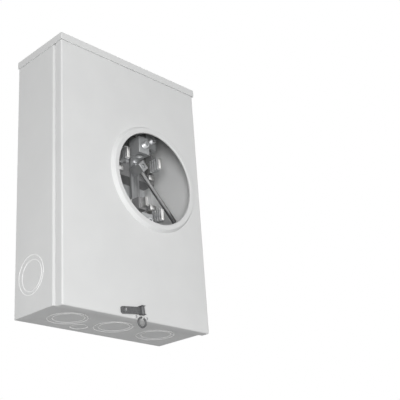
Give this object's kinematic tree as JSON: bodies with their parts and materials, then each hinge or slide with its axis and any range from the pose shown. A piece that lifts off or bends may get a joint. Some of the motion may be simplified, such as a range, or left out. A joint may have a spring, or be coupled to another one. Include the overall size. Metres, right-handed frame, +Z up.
{
  "type": "meter socket enclosure",
  "caption": "Surface-mounted steel enclosure with a hooded cover that tilts, a round rim for a plug-in meter, jaw blocks and wire lugs inside, knockouts, and a slotted hasp for sealing.",
  "frame": {"origin": "centre of the four fixing holes, on the face that lies against the wall", "axes": "+X to the right seen from the front, +Y into the wall, +Z up"},
  "size_m": [0.304, 0.1265, 0.4677],
  "materials": {
    "enamel": "semi-gloss light grey paint",
    "moulding": "moulded, matt",
    "plated_jaw": "tin plated, satin",
    "aluminium": "sawn and tumbled",
    "zinc_steel": "zinc plated",
    "dark_steel": "dull grey plating",
    "lead_cover": "smooth black insulation"
  },
  "bodies": {
    "box": {"bonding_lead": "lead_cover", "bonding_lug": "aluminium", "bonding_set_screw": "zinc_steel", "bottom_wall": "enamel", "ground_lug": "aluminium", "ground_set_screw": "zinc_steel", "keeper": "zinc_steel", "line_block": "moulding", "line_block_screws": "zinc_steel", "line_jaw_screws": "zinc_steel", "line_left_clip": "zinc_steel", "line_left_jaw": "plated_jaw", "line_left_lug": "aluminium", "line_left_set_screw": "zinc_steel", "line_neutral_lug": "aluminium", "line_neutral_set_screw": "zinc_steel", "line_right_clip": "zinc_steel", "line_right_jaw": "plated_jaw", "line_right_lug": "aluminium", "line_right_set_screw": "zinc_steel", "load_block": "moulding", "load_block_screws": "zinc_steel", "load_jaw_screws": "zinc_steel", "load_left_clip": "zinc_steel", "load_left_jaw": "plated_jaw", "load_left_lug": "aluminium", "load_left_set_screw": "zinc_steel", "load_neutral_lug": "aluminium", "load_neutral_set_screw": "zinc_steel", "load_right_clip": "zinc_steel", "load_right_jaw": "plated_jaw", "load_right_lug": "aluminium", "load_right_set_screw": "zinc_steel", "neutral_bar": "aluminium", "neutral_bar_screws": "zinc_steel", "neutral_jaw": "plated_jaw", "neutral_jaw_holder": "moulding", "top_cap": "enamel", "wall_shell": "enamel", "yoke": "zinc_steel"},
    "cover": {"cover": "enamel", "hasp_bracket": "dark_steel", "hasp_pin": "dark_steel", "seal_tab": "enamel", "tab_rivets": "zinc_steel"},
    "hasp": {"hasp": "dark_steel"},
    "seal_ring": {"seal_ring": "dark_steel"}
  },
  "joints": [
    {"name": "cover_tilt", "type": "hinge", "parent": "box", "child": "cover", "pos_m": [0, -0.11725, 0.212], "axis": [-1, 0, 0], "range_deg": [0, 15]},
    {"name": "hasp_swing", "type": "hinge", "parent": "cover", "child": "hasp", "pos_m": [-0.001, -0.1233, -0.2146], "axis": [-0.1132, 0, 0.9936], "range_deg": [0, 95]},
    {"name": "seal_ring_swing", "type": "hinge", "parent": "cover", "child": "seal_ring", "pos_m": [-0.0034, -0.1235, -0.2262], "axis": [-1, 0, 0], "range_deg": [0, 80]}
  ]
}
